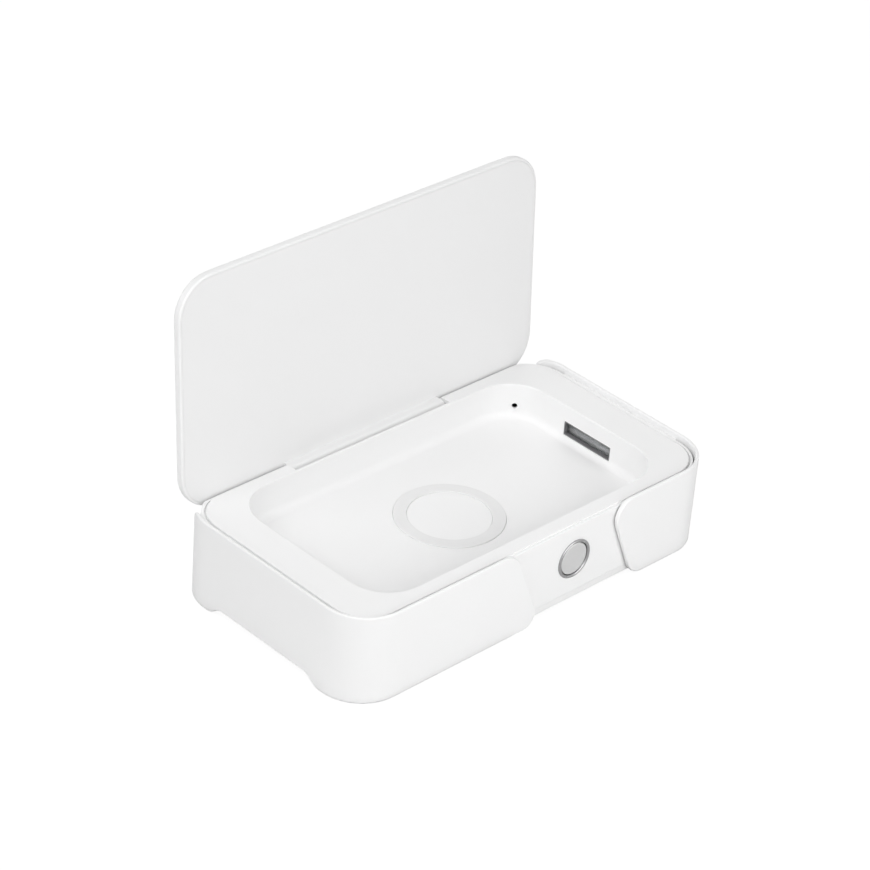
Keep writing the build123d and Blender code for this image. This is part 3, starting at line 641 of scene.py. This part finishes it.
@dataclass(frozen=True)
class Finishes:
    """Every finish on the box."""

    body: Finish = Moulding("body_white_satin", WHITE, 0.44)
    band: Finish = Moulding("band_white_satin", WHITE, 0.40)
    lid: Finish = Moulding("lid_white_satin", WHITE, 0.42)
    lid_panel: Finish = Moulding("lid_panel_white_satin", dimmed(WHITE, 0.985), 0.46)
    cover: Finish = Moulding("cover_white_satin", dimmed(WHITE, 0.97), 0.50, 0.6 * MM, 0.016 * MM)
    ring: Finish = Silicone("ring_pale_silicone", (0.83, 0.83, 0.83))
    feet: Finish = Silicone("feet_grey_rubber", (0.30, 0.30, 0.31), 0.70)
    button_face: SatinFace = SatinFace("button_satin_face", (0.70, 0.70, 0.70))
    chrome: Finish = Metal(
        "button_bright_ring", (0.40, 0.40, 0.405), 0.22, lines=1800.0, depth=0.001 * MM
    )
    screw: Finish = Metal("screw_zinc", (0.62, 0.63, 0.65), 0.32)
    steel: Finish = Metal("pin_steel", (0.66, 0.66, 0.67), 0.22, Lay.ALONG)
    spring: Finish = Metal("spring_wire", (0.55, 0.55, 0.56), 0.28)
    aluminium: Finish = Metal("lamp_aluminium", (0.86, 0.87, 0.88), 0.20, Lay.ACROSS, 2200.0)
    can: Finish = Metal("capacitor_can", (0.80, 0.81, 0.83), 0.24, Lay.UPRIGHT)
    nickel: Finish = Metal("magnet_nickel", (0.72, 0.70, 0.66), 0.18, lines=1500.0)
    gold: Finish = Metal("contact_gold", (0.90, 0.66, 0.25), 0.22, Lay.ACROSS)
    tin: Finish = Metal("solder_tin", (0.74, 0.75, 0.77), 0.30)
    dark: Finish = Moulding("dark_moulding", (0.045, 0.046, 0.05), 0.42, 0.6 * MM, 0.02 * MM, 0.12)
    lamp_box: Finish = Moulding("lamp_box_grey", (0.30, 0.30, 0.305), 0.45, 0.7 * MM, 0.02 * MM)
    lamp_sill: Finish = Moulding("lamp_sill_grey", (0.19, 0.19, 0.195), 0.40, 0.7 * MM, 0.02 * MM)
    ceramic: Finish = Moulding("chip_ceramic", (0.10, 0.09, 0.085), 0.35, 0.5 * MM, 0.01 * MM, 0.15)
    nylon: Finish = Moulding("socket_nylon", (0.78, 0.75, 0.66), 0.40, 0.8 * MM, 0.02 * MM, 0.05)
    ferrite: Finish = Moulding(
        "ferrite_black", (0.06, 0.058, 0.056), 0.55, 0.3 * MM, 0.03 * MM, 0.25
    )
    quartz: Finish = ClearQuartz("lamp_quartz", (0.96, 0.97, 0.98))
    coil: Winding = Winding("coil_varnished_copper", (0.80, 0.40, 0.20))
    lead: FlatLead = FlatLead("lead_insulation", (0.52, 0.52, 0.53))
    board: Finish = SolderMask("board_green_lacquer", (0.018, 0.115, 0.050))
    tape: Finish = TapedBobbin("transformer_tape", (0.70, 0.55, 0.12))


# ---------------------------------------------------------------------------- the bench


class Bench:
    """Modelling tools, which work on one new piece at a time."""

    @staticmethod
    def clear() -> None:
        """Leaves object mode with nothing selected."""
        if bpy.context.object is not None and bpy.context.object.mode != "OBJECT":
            bpy.ops.object.mode_set(mode="OBJECT")
        bpy.ops.object.select_all(action="DESELECT")

    @staticmethod
    def take(piece: bpy.types.Object) -> None:
        """Selects one piece alone and makes it active."""
        Bench.clear()
        piece.select_set(True)
        bpy.context.view_layer.objects.active = piece

    @staticmethod
    def block(name: str, middle: Triple, size: Triple, bevel: float) -> bpy.types.Object:
        """A block with rounded edges.

        Args:
            name: The piece's name.
            middle: Its middle, in metres.
            size: Its three sizes, in metres.
            bevel: The radius of its edges.

        Returns:
            The piece, with its place in its mesh.
        """
        Bench.clear()
        bpy.ops.mesh.primitive_cube_add(size=1.0, location=middle, scale=size)
        piece = bpy.context.object
        piece.name = name
        bpy.ops.object.transform_apply(location=True, rotation=True, scale=True)
        bpy.ops.object.mode_set(mode="EDIT")
        bpy.ops.mesh.select_all(action="SELECT")
        bpy.ops.mesh.bevel(offset=bevel, segments=2, affect="EDGES")
        bpy.ops.object.mode_set(mode="OBJECT")
        return piece

    @staticmethod
    def copied(piece: bpy.types.Object, shift: Triple) -> bpy.types.Object:
        """A copy with a mesh of its own, moved by a shift in metres."""
        twin = piece.copy()
        twin.data = piece.data.copy()
        bpy.context.scene.collection.objects.link(twin)
        twin.data.transform(Matrix.Translation(Vector(shift)))
        return twin

    @staticmethod
    def joined(name: str, pieces: Sequence[bpy.types.Object]) -> bpy.types.Object:
        """Joins several pieces into the first of them.

        Args:
            name: The joined piece's name.
            pieces: The pieces.

        Returns:
            The joined piece.
        """
        Bench.take(pieces[0])
        for piece in pieces[1:]:
            piece.select_set(True)
        bpy.ops.object.join()
        whole = bpy.context.object
        whole.name = name
        return whole

    @staticmethod
    def dressed(piece: bpy.types.Object, finish: Finish) -> bpy.types.Object:
        """Gives a new piece one finish all over."""
        piece.data.materials.clear()
        piece.data.materials.append(finish.material())
        return piece

    @staticmethod
    def smooth(piece: bpy.types.Object) -> bpy.types.Object:
        """Shades a piece smooth, but for its sharp edges."""
        Bench.take(piece)
        bpy.ops.object.shade_smooth_by_angle(angle=SHARP_ANGLE)
        return piece


def dress_nodes(frame: dict[str, Any], finish: Finish, *names: str) -> None:
    """Puts a finish in every material slot of the named parts.

    Args:
        finish: The finish.
        names: The parts.
    """
    for name in names:
        part = frame["nodes"][name]
        if not part.material_slots:
            part.data.materials.append(None)
        for slot in part.material_slots:
            slot.material = finish.material()
        LOG.info("dressed %s in %s", name, finish.name)


# ---------------------------------------------------------------------------- sub-assemblies


@dataclass(frozen=True)
class Casing:
    """Body, cover, side bands, feet and the screws under them."""

    finishes: Finishes

    def build(self, frame: dict[str, Any]) -> None:
        """Dresses the casing."""
        dress_nodes(frame, self.finishes.body, "upper_body")
        dress_nodes(frame, self.finishes.band, "left_side_band", "right_side_band")
        dress_nodes(frame, self.finishes.cover, "bottom_cover", "coil_bracket")
        dress_nodes(frame, self.finishes.feet, "rubber_feet")
        dress_nodes(frame, self.finishes.screw, "band_screws", "cover_screws")


@dataclass(frozen=True)
class Lid:
    """Lid shell, inner panel, hinge pins, and the magnets and the sensor round the lid."""

    finishes: Finishes

    def build(self, frame: dict[str, Any]) -> None:
        """Dresses the lid and its hinge."""
        dress_nodes(frame, self.finishes.lid, "lid_shell")
        dress_nodes(frame, self.finishes.lid_panel, "lid_inner_panel")
        dress_nodes(frame, self.finishes.steel, "hinge_pins")
        dress_nodes(frame, self.finishes.nickel, "lid_magnets", "base_magnets")
        dress_nodes(frame, self.finishes.board, "lid_sensor")


@dataclass(frozen=True)
class PushButton:
    """The round front button, its bright ring and the switch behind it."""

    finishes: Finishes
    wire: float = 0.3 * MM
    wire_sides: int = 12
    turns: int = 2
    turn_steps: int = 48
    travel: float = 0.6 * MM

    def build(self, frame: dict[str, Any]) -> None:
        """Dresses the button and winds its spring."""
        low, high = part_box("button_cap")
        face = replace(self.finishes.button_face, middle=tuple((low + high) / 2))
        dress_nodes(frame, face, "button_cap")
        dress_nodes(frame, self.finishes.chrome, "button_ring")
        dress_nodes(frame, self.finishes.dark, "switch_plunger", "push_switch")
        self.wind_spring()
        dress_nodes(frame, self.finishes.board, "button_board")
        dress_nodes(frame, self.finishes.screw, "button_board_screws")

    def wind_spring(self) -> None:
        """Winds the return spring, in place of the part file's spring."""
        low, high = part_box("button_spring")
        middle = (low + high) / 2
        length = high[1] - low[1]
        coil_radius = (high[0] - low[0]) / 2 - self.wire
        Bench.clear()
        bpy.ops.mesh.primitive_circle_add(vertices=self.wire_sides, radius=self.wire)
        spring = bpy.context.object
        spring.name = "button_return_spring"
        spring.data.transform(Matrix.Translation((coil_radius, 0.0, 0.0)))
        winder = spring.modifiers.new("winder", "SCREW")
        winder.axis, winder.angle, winder.iterations = "Y", math.tau, self.turns
        winder.screw_offset = (length - 2.0 * self.wire) / self.turns
        winder.steps = winder.render_steps = self.turn_steps
        bpy.ops.object.modifier_apply(modifier=winder.name)
        spring.location = (middle[0], low[1] + self.wire, middle[2])
        bpy.ops.object.transform_apply(location=True)
        bpy.ops.object.mode_set(mode="EDIT")
        bpy.ops.mesh.select_all(action="SELECT")
        bpy.ops.mesh.fill_holes(sides=0)
        bpy.ops.mesh.normals_make_consistent(inside=False)
        bpy.ops.object.mode_set(mode="OBJECT")
        Bench.dressed(Bench.smooth(spring), self.finishes.spring)
        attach(spring, "base")
        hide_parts("button_spring")
        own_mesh(spring)


@dataclass(frozen=True)
class Charger:
    """The ring that the phone lies on, and the coil under it."""

    finishes: Finishes

    def build(self, frame: dict[str, Any]) -> None:
        """Dresses the ring, the coil and what holds it."""
        low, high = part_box("charging_coil")
        winding = replace(self.finishes.coil, middle=tuple((low + high) / 2))
        dress_nodes(frame, self.finishes.ring, "ring_pad")
        dress_nodes(frame, winding, "charging_coil")
        dress_nodes(frame, self.finishes.ferrite, "ferrite_sheet")
        dress_nodes(frame, self.finishes.screw, "coil_bracket_screws")


@dataclass(frozen=True)
class Lamp:
    """One ultraviolet lamp behind its slot."""

    finishes: Finishes
    side: str

    def build(self, frame: dict[str, Any]) -> None:
        """Dresses the lamp."""
        dress_nodes(frame, self.finishes.lamp_sill, f"{self.side}_lamp_frame")
        dress_nodes(frame, self.finishes.lamp_box, f"{self.side}_lamp_back")
        dress_nodes(frame, self.finishes.quartz, f"{self.side}_lamp_tube")
        bright = (f"{self.side}_lamp_reflector", f"{self.side}_lamp_end_caps")
        dress_nodes(frame, self.finishes.aluminium, *bright)
        dress_nodes(frame, self.finishes.steel, f"{self.side}_lamp_electrodes")


@dataclass(frozen=True)
class Electronics:
    """Main board, what stands on it, the charging port and the leads."""

    finishes: Finishes
    contact: Triple = (0.25 * MM, 3.4 * MM, 0.05 * MM)
    contact_bevel: float = 0.02 * MM
    contact_pitch: float = 0.5 * MM
    contact_count: int = 12
    contact_rise: float = 0.37 * MM
    contact_setback: float = 0.4 * MM
    chip: Triple = (2.0 * MM, 1.25 * MM, 0.5 * MM)
    chip_body: Triple = (0.7, 1.0, 0.92)
    chip_body_bevel: float = 0.05 * MM
    chip_end: Triple = (0.2, 1.04, 1.0)
    chip_end_bevel: float = 0.06 * MM
    chip_end_place: float = 0.41
    chip_step: float = 2.1 * MM
    chip_rows: Sequence[tuple[float, float, int]] = (
        (-22.0, 12.0, 4),
        (-22.0, 4.0, 4),
        (22.0, 4.0, 4),
        (6.0, 22.0, 3),
        (-30.0, -10.0, 4),
        (28.0, -10.0, 3),
    )

    def build(self, frame: dict[str, Any]) -> None:
        """Dresses the electronics and adds the contacts and the small chips."""
        finishes = self.finishes
        dress_nodes(frame, finishes.board, "main_board")
        dress_nodes(frame, finishes.steel, "usb_c_socket")
        dress_nodes(frame, finishes.dark, "usb_c_tongue", "control_chips")
        dress_nodes(frame, finishes.tape, "lamp_transformers")
        dress_nodes(frame, finishes.can, "capacitors")
        dress_nodes(frame, finishes.nylon, "cable_connectors")
        dress_nodes(frame, finishes.screw, "main_board_screws")
        for name in ("button_cable", "coil_leads", "left_lamp_cable", "right_lamp_cable"):
            low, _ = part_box(name)
            wide = Lay.ACROSS if name.endswith("lamp_cable") else Lay.ALONG
            edge = low.y if wide is Lay.ACROSS else low.x
            lead = replace(finishes.lead, name=f"{name}_insulation", across=wide, edge=edge)
            dress_nodes(frame, lead, name)
        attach(self.contacts(), "base")
        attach(self.small_chips(), "base")

    def contacts(self) -> bpy.types.Object:
        """Gilt contacts on both faces of the port's tongue."""
        low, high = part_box("usb_c_tongue")
        middle_z = (low.z + high.z) / 2
        first_x = -self.contact_pitch * (self.contact_count - 1) / 2
        rear = high.y - self.contact_setback - self.contact[1] / 2
        faces = []
        for side in (-1, 1):
            middle = (first_x, rear, middle_z + side * self.contact_rise)
            pad = Bench.block("contact", middle, self.contact, self.contact_bevel)
            faces.append(pad)
            for number in range(1, self.contact_count):
                faces.append(Bench.copied(pad, (self.contact_pitch * number, 0.0, 0.0)))
        whole = Bench.dressed(Bench.joined("usb_c_contacts", faces), self.finishes.gold)
        LOG.info("modelled %s", whole.name)
        return whole

    def small_chips(self) -> bpy.types.Object:
        """Rows of small chips with tinned ends, on the main board."""
        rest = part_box("main_board")[1].z + self.chip[2] / 2
        body = Bench.block(
            "chip", (0.0, 0.0, rest), self.share_of_chip(self.chip_body), self.chip_body_bevel
        )
        Bench.dressed(body, self.finishes.ceramic)
        ends = []
        for side in (-1, 1):
            place = (side * self.chip[0] * self.chip_end_place, 0.0, rest)
            size = self.share_of_chip(self.chip_end)
            end = Bench.block("chip_end", place, size, self.chip_end_bevel)
            ends.append(Bench.dressed(end, self.finishes.tin))
        one = Bench.joined("chip", [body, *ends])
        rows = []
        for x, y, count in self.chip_rows:
            for number in range(count):
                shift = (x * MM, y * MM + CASE_MIDDLE_Y + number * self.chip_step, 0.0)
                rows.append(Bench.copied(one, shift))
        bpy.data.objects.remove(one)
        whole = Bench.joined("board_small_chips", rows)
        LOG.info("modelled %s", whole.name)
        return whole

    def share_of_chip(self, shares: Triple) -> Triple:
        """The chip's three sizes, each times a share."""
        return tuple(whole * share for whole, share in zip(self.chip, shares))


# ---------------------------------------------------------------------------- studio


@dataclass(frozen=True)
class AreaLamp:
    """One soft box."""

    name: str
    place: Triple
    size: Pair
    watts: float
    aim: ClassVar[Triple] = (0.0, 0.0, 0.03)

    def hang(self) -> None:
        """Adds the lamp, turned to the box."""
        bpy.ops.object.light_add(type="AREA", location=self.place)
        lamp = bpy.context.object
        lamp.name = self.name
        lamp.data.shape = "RECTANGLE"
        lamp.data.size, lamp.data.size_y = self.size
        lamp.data.energy = self.watts
        direction = Vector(self.aim) - Vector(self.place)
        lamp.rotation_euler = direction.to_track_quat("-Z", "Y").to_euler()


@dataclass(frozen=True)
class FloorShade:
    """Painted shade: dark paint on the floor under the box, which only bounced light meets.

    It keeps that light off the lower edges. It is cut to the box's outline, with a notch where the
    front panel stands back between the bands.
    """

    colour: Colour = (0.02, 0.02, 0.02)
    middle: Triple = (0.0, CASE_MIDDLE_Y, 0.0)
    half: Pair = (111.2 * MM, 61.6 * MM)
    corner: float = 23.0 * MM
    edge: float = 0.5 * MM
    notch: Pair = (-16.0 * MM, 52.0 * MM)
    notch_edge: float = 1.0 * MM
    notch_y: float = -57.6 * MM

    def cover(self, sheet: NodeSheet) -> Reading:
        """1 where the painted shade lies, else 0."""
        x, y, _ = sheet.axes(sheet.place(self.middle))
        past_x = (x.size() - (self.half[0] - self.corner)).larger(0.0)
        past_y = (y.size() - (self.half[1] - self.corner)).larger(0.0)
        inner, outer = self.corner - self.edge, self.corner + self.edge
        outside = (past_x * past_x + past_y * past_y).between(inner**2, outer**2)
        left, right = self.notch
        notched = x.between(left - self.notch_edge, left)
        notched = notched * (1.0 - x.between(right, right + self.notch_edge))
        notched = notched * (1.0 - y.between(self.notch_y - self.edge, self.notch_y))
        return (1.0 - outside) * (1.0 - notched)


@dataclass(frozen=True)
class Camera:
    """The camera at the box's front left, a little turned in its own plane."""

    place: Triple = (-838.362 * MM, -799.447 * MM + CASE_MIDDLE_Y, 797.244 * MM)
    azimuth: float = -45.8938
    elevation: float = 32.2441
    roll: float = 4.6674
    film: float = 36.0
    lens: float = 128.69
    clip: Pair = (0.05, 60.0)

    def stand(self) -> None:
        """Adds the camera and looks through it."""
        azimuth, elevation, roll = (
            math.radians(value) for value in (self.azimuth, self.elevation, self.roll)
        )
        back = Vector(
            (
                math.sin(azimuth) * math.cos(elevation),
                -math.cos(azimuth) * math.cos(elevation),
                math.sin(elevation),
            )
        )
        right = (-back).cross(Vector((0.0, 0.0, 1.0))).normalized()
        up = right.cross(-back)
        turned_right = right * math.cos(roll) + up * math.sin(roll)
        turned_up = up * math.cos(roll) - right * math.sin(roll)
        bpy.ops.object.camera_add()
        camera = bpy.context.object
        camera.name = "studio_camera"
        camera.data.sensor_width = self.film
        camera.data.lens = self.lens
        camera.data.clip_start, camera.data.clip_end = self.clip
        turn = Matrix((turned_right, turned_up, back)).transposed().to_4x4()
        camera.matrix_world = Matrix.Translation(Vector(self.place)) @ turn
        bpy.context.scene.camera = camera


@dataclass(frozen=True)
class Studio:
    """White sweep, soft boxes and the camera."""

    dome: float = 0.30
    sweep: Colour = (0.80, 0.80, 0.80)
    sweep_size: float = 12.0
    clean: float = 0.86
    glow: float = 1.10
    shade: FloorShade = FloorShade()
    camera: Camera = Camera()
    lamps: Sequence[AreaLamp] = (
        AreaLamp("near_front_box", (0.0, -0.60, 0.35), (0.8, 0.3), 2.0),
        AreaLamp("low_front_box", (0.0, -0.60, 0.10), (0.8, 0.16), 0.31),
        AreaLamp("top_box", (0.0, 0.0, 1.3), (1.4, 1.4), 1.9),
        AreaLamp("high_left_box", (-0.8, 0.0, 1.0), (0.8, 0.8), 6.0),
        AreaLamp("left_box", (-1.2, 0.0, 0.45), (1.0, 0.7), 1.16),
        AreaLamp("rear_right_box", (0.95, 0.95, 0.6), (0.9, 0.6), 1.35),
        AreaLamp("rear_left_box", (-0.95, 0.95, 0.6), (0.9, 0.6), 1.21),
    )

    def build(self) -> None:
        """Sets the floor, the dome, the lamps and the camera."""
        bpy.context.scene.view_settings.view_transform = "Standard"
        self.lay_floor()
        self.light_dome()
        for lamp in self.lamps:
            lamp.hang()
        self.camera.stand()

    def lay_floor(self) -> None:
        """Lays the sweep that the box stands on. The camera sees it almost evenly white."""
        Bench.clear()
        bpy.ops.mesh.primitive_plane_add(size=self.sweep_size, location=(0.0, 0.0, 0.0))
        floor = bpy.context.object
        floor.name = "studio_floor"
        material = bpy.data.materials.new("studio_sweep")
        sheet = NodeSheet(material)
        # Painted shade: for every ray but the camera's own, the floor is near black under the box,
        # which darkens the box's lower edges.
        painted_shade = self.shade.cover(sheet) * (1.0 - sheet.direct())
        tone = sheet.blend(painted_shade, self.sweep, self.shade.colour)
        paper = sheet.node("ShaderNodeBsdfDiffuse", inputs={0: tone})
        glow = sheet.node("ShaderNodeEmission", inputs={0: PURE_WHITE, 1: self.glow})
        shares = {0: sheet.direct() * self.clean, 1: paper.outputs[0], 2: glow.outputs[0]}
        sheet.end(sheet.node("ShaderNodeMixShader", inputs=shares))
        floor.data.materials.append(material)

    def light_dome(self) -> None:
        """Lights the whole room evenly, and shows it white behind the box."""
        world = bpy.data.worlds.new("studio_dome")
        bpy.context.scene.world = world
        sheet = NodeSheet(world)
        even = sheet.node("ShaderNodeBackground", inputs={0: PURE_WHITE, 1: self.dome})
        white = sheet.node("ShaderNodeBackground", inputs={0: PURE_WHITE, 1: 1.0})
        shares = {0: sheet.seen(), 1: even.outputs[0], 2: white.outputs[0]}
        sheet.end(sheet.node("ShaderNodeMixShader", inputs=shares))


def main() -> None:
    """Builds the scene: frame, sub-assemblies, then the studio."""
    logging.basicConfig(level=logging.INFO, format="%(name)s: %(message)s")
    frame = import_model()
    finishes = Finishes()
    builders = (
        Casing(finishes),
        Lid(finishes),
        PushButton(finishes),
        Charger(finishes),
        Lamp(finishes, "left"),
        Lamp(finishes, "right"),
        Electronics(finishes),
    )
    for builder in builders:
        builder.build(frame)
        LOG.info("built %s", type(builder).__name__)
    Studio().build()


if __name__ == "__main__":
    main()
